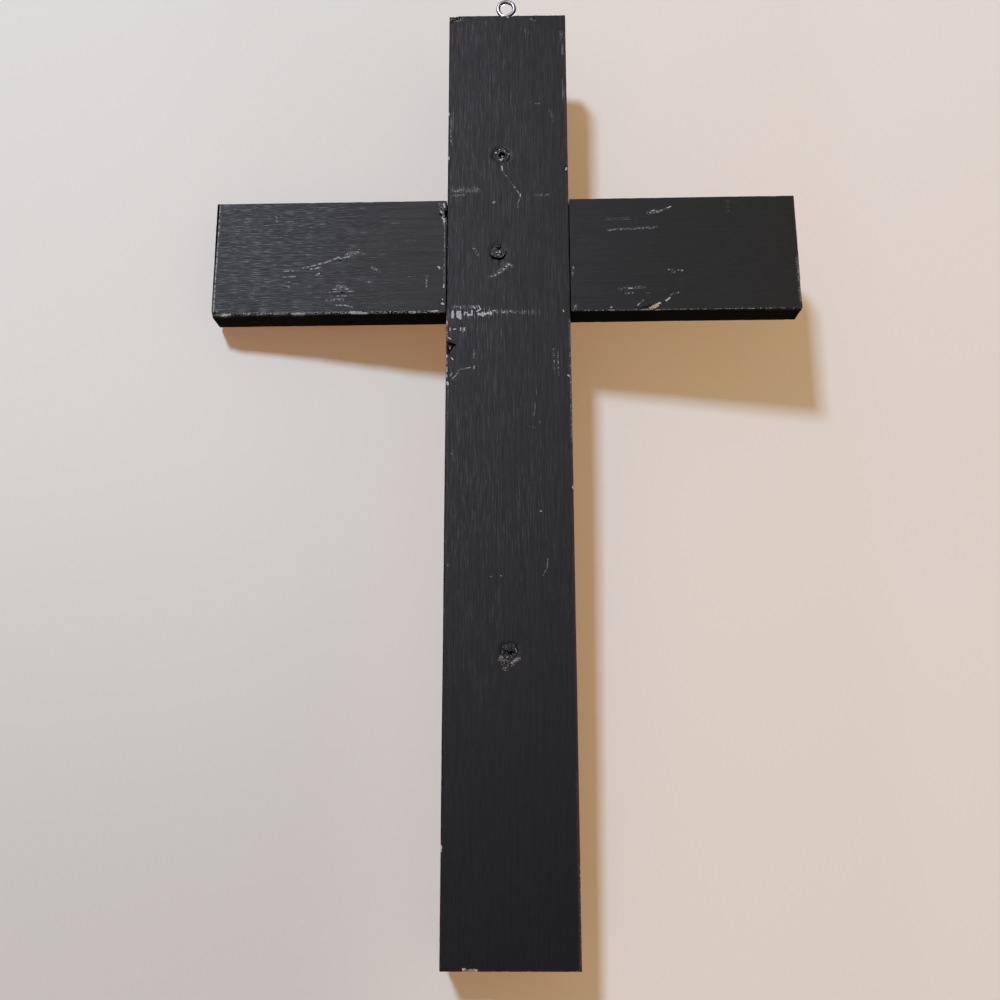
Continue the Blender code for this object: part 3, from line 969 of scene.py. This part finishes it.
barWear = {
    "chipped": [
        (-33.5, -112.6, -33.2, -114.6, 0.5), (-35.2, -117, -34.4, -117.6, 0.4),
        (-34.2, -120.8, -33.4, -121.6, 0.4), (-33.4, -121.4, -33.3, -122.8, 0.45),
        (-33.2, -158.6, -33.1, -159.6, 0.4), (-34, -168.4, -33.3, -168.7, 0.55),
        (-33.8, -166, -33.6, -166.4, 0.28), (-36, -148.2, -35.4, -148.8, 0.4),
        (-80.6, -173, -76, -173, 0.42), (-75, -173.2, -73, -173.1, 0.36), (-50.4, -173, -47.6, -173, 0.45),
        (-39, -172.6, -36.2, -172.4, 0.36), (-87.8, -142.4, -87.4, -142.7, 0.3),
        (74.8, -117.6, 76.2, -117.5, 0.3), (77.4, -118.2, 77.9, -118, 0.26), (83, -116, 84.8, -115.3, 0.3),
        (61.8, -160.8, 63.4, -160.8, 0.26), (80.6, -167.8, 82.4, -166.2, 0.4),
        (-146, -173.9, -143.6, -174, 0.3), (-109, -173.8, -106.4, -173.6, 0.34),
    ],
    "scuffed": [
        (-81, -173, -73, -173, 0.7), (-147, -174, -143, -174, 0.7), (-110, -173.8, -105, -173.6, 0.7),
    ],
    "scratched": [
        (-106, -148.2, -98, -146.4, 0.26), (-98, -146.2, -92, -144.4, 0.36),
        (-92, -144.2, -88, -142.6, 0.36), (-102, -149, -97, -148, 0.34), (-87, -143.2, -82.4, -142.2, 0.3),
        (-87, -159, -83.6, -159, 0.26), (-90.4, -160.2, -82.4, -160, 0.26),
        (-92.1, -161.6, -86.4, -161.5, 0.24), (-84.6, -161.4, -79.3, -161.4, 0.24),
        (-87.8, -163.9, -83, -163.8, 0.24), (-89.4, -165.6, -84.8, -165.5, 0.26),
        (-116, -150, -111, -149.8, 0.22), (-74, -156.4, -70, -156.2, 0.2),
        (-99, -152.4, -97.6, -151.4, 0.4), (-116, -153.2, -110, -153, 0.3),
        (-115, -156.2, -112.4, -156, 0.3), (-113.6, -158.4, -112, -159.6, 0.3),
        (-88, -169, -84, -169, 0.28), (-84, -169, -80, -170, 0.28), (79.6, -117.6, 83, -116, 0.28),
        (82.4, -150.6, 84.6, -150.8, 0.3), (87.4, -151, 89.6, -151.2, 0.32), (66, -170, 69, -167.4, 0.3),
        (52, -128.6, 55, -128, 0.26), (-151, -112, -151.2, -172, 0.3), (52, -171.2, 53, -171, 0.3),
        (-33.1, -123, -33, -158, 0.11),
    ],
    "dotted": [
        (-83.6, -141, -77, -139.2, 1.3), (-93, -166, -85, -166, 0.8), (-88, -158.6, -84, -158.6, 0.8),
        (-42, -153, -42, -159, 0.6), (-70.6, -148.2, -66.4, -150.2, 0.8),
        (-121.2, -119.4, -120.8, -121.8, 0.6), (-150.5, -173.4, -34, -172.8, 0.8),
        (-35.4, -113, -33, -124, 1.2), (-36, -148, -34.6, -149.4, 0.9), (73, -118.8, 79, -117.8, 0.9),
        (52, -128.2, 77, -127, 0.7), (57, -161.2, 70, -160.2, 0.8), (60, -163.6, 64, -163.2, 0.6),
        (84, -152.2, 86, -152, 0.5), (82.6, -164.6, 87.6, -163.2, 0.6), (33, -172.8, 150, -172.2, 0.4),
        (131, -172.6, 148, -172.4, 0.7), (33.4, -149, 33.2, -153, 0.7), (34.4, -170, 34, -172, 1.2),
        (148.4, -144, 148.8, -168, 0.8),
    ],
    "rubbed": [
        (-82, -140.6, -78, -139.4, 1.4), (52, -122.2, 63, -121.8, 0.7), (-60.6, -123.4, -57, -123.4, 0.7),
        (-52, -133.4, -49, -133.4, 0.7), (-51, -153.4, -48, -153.4, 0.7), (114.5, -112.5, 114.5, -119, 0.7),
        (70, -164, 72, -163.8, 0.6),
    ],
    "bare": [
        (68.1, -172.4, 72.4, -172.1, 0.26), (72.2, -171.6, 77.4, -168.9, 0.5),
        (73.2, -171.9, 76.2, -170.4, 0.45), (-151.2, -172.4, -149.4, -174, 0.3),
    ],
    "bareDots": [
        (149.2, -150, 149.2, -169, 0.4), (-151.4, -168, -148, -175, 0.4), (96, -174.4, 106, -172.6, 0.3),
    ],
    "brown": [
        (149.7, -112, 149.7, -171, 0.9),
    ],
    # dark strokes: dark flecks by the seam and among the scratches, a dark line down the left end, and
    # painted shade along the lower edge
    "dark": [
        (-32.6, -117.2, -32.2, -119.2, 0.9), (-35.4, -118.6, -34.4, -119, 0.5),
        (-87.2, -143.6, -86.6, -144.2, 0.4), (-85.8, -162, -84.4, -162, 0.3),
        (-151.9, -112, -152.3, -172, 0.5),
        # nibbled lower edge, with painted shade in the nibbles
        (-148.6, -174, -147, -174, 0.46), (-141, -173.8, -136.4, -173.7, 0.42),
        (-131.6, -173.8, -129.8, -173.7, 0.46), (-122.6, -173.7, -120.8, -173.6, 0.42),
        (-113.2, -173.6, -110.4, -173.6, 0.4), (-105.8, -173.5, -103.6, -173.5, 0.4),
        (-98.2, -173.5, -94.6, -173.4, 0.42), (-90.4, -173.4, -87, -173.4, 0.46),
        (-80.2, -173.3, -74.4, -173.2, 0.46), (-70.4, -173.2, -66.8, -173.1, 0.42),
        (-62, -173.1, -57.4, -173.1, 0.46), (-52.6, -173, -48.4, -173, 0.42),
        (-43.4, -172.9, -38.8, -172.9, 0.46),
    ],
}


def paintedSteel(name, look, wear):
    # the same black paint, dabbed over a screw head, with bare steel showing where a driver has slipped,
    # and painted shade in the recess and below the rim
    material, tree, shader = newMaterial(name)
    coordinates = put(tree, "ShaderNodeTexCoord").outputs["Object"]
    point = inMillimetres(tree, coordinates)
    seen = seenFromBack(tree, coordinates, screws["sunk"])
    lumps = speckle(tree, point, 0.9, 3.0)
    specks = speckle(tree, point, 2.4, 3.0)
    colour = blend(tree, ramp(tree, lumps, 0.35, 0.65), look["hollowColour"], look["paintColour"])
    ragged = calc(tree, "MULTIPLY", calc(tree, "SUBTRACT", specks, 0.5), 2.0)
    # painted shade: the dark strokes are near black and give back no sheen
    dark = strokesMask(tree, seen, wear["dark"], ragged, 0.4)
    colour = blend(tree, dark, colour, look["darkColour"])
    bareSteel = ramp(tree, specks, look["bareFrom"], look["bareFrom"] + 0.05)
    bareSteel = calc(tree, "MAXIMUM", bareSteel, strokesMask(tree, seen, wear["chipped"], ragged, 0.35))
    colour = blend(tree, bareSteel, colour, look["steelColour"])
    metallic = calc(tree, "MAXIMUM", calc(tree, "MULTIPLY", bareSteel, 0.5), dark)
    tree.links.new(colour, shader.inputs["Base Color"])
    tree.links.new(metallic, shader.inputs["Metallic"])
    tree.links.new(ramp(tree, lumps, 0.3, 0.7, 0.55, 0.42), shader.inputs["Roughness"])
    bumpOnto(tree, shader, calc(tree, "ADD", lumps, calc(tree, "MULTIPLY", specks, 0.3)), look["bump"])
    return material


screwPaint = {
    "paintColour": (0.0125, 0.0120, 0.0125),
    "hollowColour": (0.006, 0.006, 0.006),
    "darkColour": (0.002, 0.002, 0.002),
    "steelColour": (0.42, 0.42, 0.41),
    "bareFrom": 0.66,
    "bump": 0.25,
}
screwWear = {
    "chipped": [
        (-3.2, -84.5, -3.1, -84.4, 0.55), (-4.3, -87, -3.4, -87.3, 0.36), (-3, -86.4, -2.6, -86.6, 0.24),
        (-2, -81.8, -1.6, -82.4, 0.28), (-4.6, -80.9, -4.2, -81.2, 0.24), (-6.6, -82.8, -6.2, -83.2, 0.28),
        (0.3, -83.6, 0.5, -84, 0.32), (-6.2, -140.3, -5, -140.5, 0.24), (-4.4, -139.6, -4.1, -140.4, 0.24),
        (-5.9, -141.4, -4.6, -141.6, 0.2), (-3.6, -139, -3.4, -139.3, 0.2),
        (2.8, -343.2, 3.3, -344.6, 0.16), (-1.2, -347, -0.6, -347.2, 0.22), (0.6, -346.6, 1, -347.2, 0.2),
    ],
    # painted shade in the paint-filled recesses and under the middle head's lower rim
    "dark": [
        (-4.3, -84.3, -2.2, -84.3, 1), (-3.4, -85.2, -2.6, -83.4, 0.8), (-5.6, -138, -4.2, -137.8, 0.8),
        (-4, -137.4, -3.8, -136.8, 0.4), (-2, -344.6, 1.4, -344.9, 0.55), (-0.8, -345.2, 0.6, -345.4, 0.5),
        (-8.6, -141.9, -7.2, -143.1, 0.4), (-7.2, -143.2, -5.1, -143.6, 0.45),
        (-5.1, -143.6, -3, -143.2, 0.45), (-3, -143.1, -1.4, -141.6, 0.4),
    ],
}
screwMaterial = paintedSteel("screwPaint", screwPaint, screwWear)
for piece in screwPieces:
    piece.data.materials.append(screwMaterial)


def zincWire(name, look):
    material, tree, shader = newMaterial(name)
    point = inMillimetres(tree, put(tree, "ShaderNodeTexCoord").outputs["Object"])
    cloudy = speckle(tree, point, 0.5, 4.0)
    grit = speckle(tree, point, 3.5, 3.0)
    colour = blend(tree, ramp(tree, cloudy, 0.35, 0.68), look["colour"], look["dullColour"])
    down = put(tree, "ShaderNodeSeparateXYZ", {"Vector": point}).outputs["Z"]
    # darker towards the bottom of the ring and the neck, where the wire meets the wood
    nearWood = calc(tree, "MULTIPLY", ramp(tree, down, *look["nearWoodSpan"]), ramp(tree, grit, 0.4, 0.6))
    colour = blend(tree, nearWood, colour, look["nearWoodColour"])
    tree.links.new(colour, shader.inputs["Base Color"])
    shader.inputs["Metallic"].default_value = 1.0
    tree.links.new(ramp(tree, cloudy, 0.35, 0.68, *look["roughness"]), shader.inputs["Roughness"])
    bumpOnto(tree, shader, grit, look["bump"], 0.6)
    return material


zinc = {
    "colour": (0.78, 0.79, 0.80),
    "dullColour": (0.58, 0.59, 0.60),
    "nearWoodColour": (0.10, 0.09, 0.085),
    "nearWoodSpan": (-4.5, -7.2),
    "roughness": (0.36, 0.52),
    "bump": 0.03,
}
eyeObject.data.materials.append(zincWire("zinc", zinc))

postPiece.data.materials.clear()
postPiece.data.materials.append(paintedWood("postPaint", postPlace, postHalf, postPaint, postWear))
barPiece.data.materials.clear()
barPiece.data.materials.append(paintedWood("crossbarPaint", barPlace, barHalf, barPaint, barWear))
print("boards painted")


stage = {
    "floorDrop": 0.06,
    "floorHalf": 40.0,
    "floorColour": (0.18, 0.177, 0.174),
    "floorGlow": (0.56, 0.55, 0.54),
    # the backdrop's tones, with painted shade in its lower left, and its glow, a painted warm light in the
    # shadows
    "backdropLeft": (0.61, 0.80, 0.84),
    "backdropLowShade": (0.49, 0.67, 0.72),
    "backdropRight": (0.525, 0.66, 0.745),
    "glowLeft": (0.186, 0.056, 0.006),
    "glowRight": (0.316, 0.171, 0.057),
    "backdropHalf": 1.5,
    "gap": 0.0228,
    "gapRise": 0.033,
    "gapClose": 0.136,
    "gapOpen": 0.08,
    "topRise": 0.055,
    "lowDrop": 0.045,
    "least": 0.001,
    "flatBeside": 0.2,
    "flatAbove": 0.1,
    "roomLight": (0.30, 0.22, 0.16),
    "roomGloss": (0.016, 0.016, 0.016),
    "roomSeen": (0.74, 0.72, 0.70),
}


def stageMaterial(name, colour, glow):
    material, tree, shader = newMaterial(name)
    shader.inputs["Base Color"].default_value = (*colour, 1.0)
    shader.inputs["Roughness"].default_value = 0.9
    shader.inputs["Specular IOR Level"].default_value = 0.1
    shader.inputs["Emission Color"].default_value = (*glow, 1.0)
    shader.inputs["Emission Strength"].default_value = 1.0
    return material, tree, shader


def backdropMaterial():
    # painted light and shade over the backdrop: a warm glow that stands in for room light in the shadows,
    # stronger towards the right, and a darker lower left where the light falls off; seen from behind it is
    # clear
    material, tree, shader = stageMaterial("backdropPaper", stage["backdropLeft"], stage["glowLeft"])
    coordinates = put(tree, "ShaderNodeTexCoord").outputs["Object"]
    place = put(tree, "ShaderNodeSeparateXYZ", {0: coordinates}).outputs
    right = ramp(tree, place["X"], 0.12, -0.12)
    # painted shade: darker towards the lower left
    low = calc(tree, "MULTIPLY", ramp(tree, place["Z"], -0.2, -0.5), ramp(tree, place["X"], -0.02, 0.1))
    colour = blend(tree, right, stage["backdropLeft"], stage["backdropRight"])
    # painted light: the glow, warmer and stronger towards the right, lifts the shadows as room light would
    glow = blend(tree, right, stage["glowLeft"], stage["glowRight"])
    tree.links.new(blend(tree, low, colour, stage["backdropLowShade"]), shader.inputs["Base Color"])
    tree.links.new(glow, shader.inputs["Emission Color"])
    facing = put(tree, "ShaderNodeNewGeometry").outputs["Backfacing"]
    clear = put(tree, "ShaderNodeBsdfTransparent")
    mixed = put(tree, "ShaderNodeMixShader", {0: facing, 1: shader.outputs[0], 2: clear.outputs[0]})
    tree.links.new(mixed.outputs[0], tree.nodes["Material Output"].inputs["Surface"])
    return material


def eased(value, soft):
    # nothing below zero and the value itself above it, with a soft turn between
    return soft * math.log1p(math.exp(value / soft))


floorBm = bmesh.new()
bmesh.ops.create_grid(floorBm, x_segments=2, y_segments=2, size=stage["floorHalf"])
bmesh.ops.translate(floorBm, vec=(0, 0, postLow.z - stage["floorDrop"]), verts=floorBm.verts)
floor = newPiece("floor", floorBm)
floor.data.materials.append(stageMaterial("floorPaper", stage["floorColour"], stage["floorGlow"])[0])

# A pale backdrop close behind the front, seen only from the back's side. Its gap to the front widens
# and narrows softly, which sets how far the shadow falls.
backdropBm = bmesh.new()
bmesh.ops.create_grid(backdropBm, x_segments=200, y_segments=200, size=stage["backdropHalf"],
                      matrix=Matrix.Rotation(math.radians(-90), 4, "X"))
for vert in backdropBm.verts:
    vert.co.z += (postLow.z - stage["floorDrop"]) + stage["backdropHalf"]
    across = min(stage["flatBeside"], max(-stage["flatBeside"], vert.co.x))
    up = min(stage["flatAbove"], vert.co.z)
    top = stage["topRise"] * eased(up - barMiddle[2], 0.05)
    gap = stage["gap"] - stage["gapRise"] * across - stage["gapClose"] * eased(across, 0.03)
    gap += stage["gapOpen"] * eased(-0.02 - across, 0.02) + top
    gap -= stage["lowDrop"] * eased(-0.25 - up, 0.02)
    vert.co.y = frontY - stage["least"] - eased(gap, 0.003)
backdrop = newPiece("backdrop", backdropBm)
backdrop.data.shade_smooth()
backdrop.data.materials.append(backdropMaterial())
backdrop.visible_shadow = False
for surface in (floor, backdrop):    # neither lights the object nor shows in its gloss
    surface.visible_diffuse = False
    surface.visible_glossy = False

lights = {
    "windowLight": {"place": (1.59, 3.0, 1.54), "size": 0.9, "watts": 98.0, "colour": (0.94, 0.96, 1.08),
                    "backdrop": "EXCLUDE"},
    "backdropLight": {"place": (1.08, 3.0, 1.88), "size": 0.5, "watts": 98.0, "colour": (0.94, 0.96, 1.08),
                      "backdrop": "INCLUDE"},
    "frontFill": {"place": (-0.9, -3.0, 0.7), "size": 1.2, "watts": 120.0, "colour": (1.0, 0.98, 0.97),
                  "backdrop": "EXCLUDE"},
}
aim = Vector((0, 0, -0.25))
for name, light in lights.items():
    lamp = bpy.data.lights.new(name, "AREA")
    lamp.size = light["size"]
    lamp.energy = light["watts"]
    lamp.color = light["colour"]
    lampObject = bpy.data.objects.new(name, lamp)
    bpy.context.scene.collection.objects.link(lampObject)
    lampObject.location = light["place"]
    lampObject.rotation_euler = (aim - Vector(light["place"])).to_track_quat("-Z", "Y").to_euler()
    reached = bpy.data.collections.new(name + "Reaches")
    reached.objects.link(backdrop)
    reached.collection_objects[0].light_linking.link_state = light["backdrop"]
    lampObject.light_linking.receiver_collection = reached

world = bpy.data.worlds.new("room")
bpy.context.scene.world = world
world.use_nodes = True
roomTree = world.node_tree
room = roomTree.nodes["Background"]
room.inputs["Strength"].default_value = 1.0
rays = put(roomTree, "ShaderNodeLightPath").outputs
roomColour = blend(roomTree, rays["Is Glossy Ray"], stage["roomLight"], stage["roomGloss"])
roomColour = blend(roomTree, rays["Is Camera Ray"], roomColour, stage["roomSeen"])
roomTree.links.new(roomColour, room.inputs["Color"])
bpy.context.scene.view_settings.view_transform = "Standard"
print("stage and lights set")
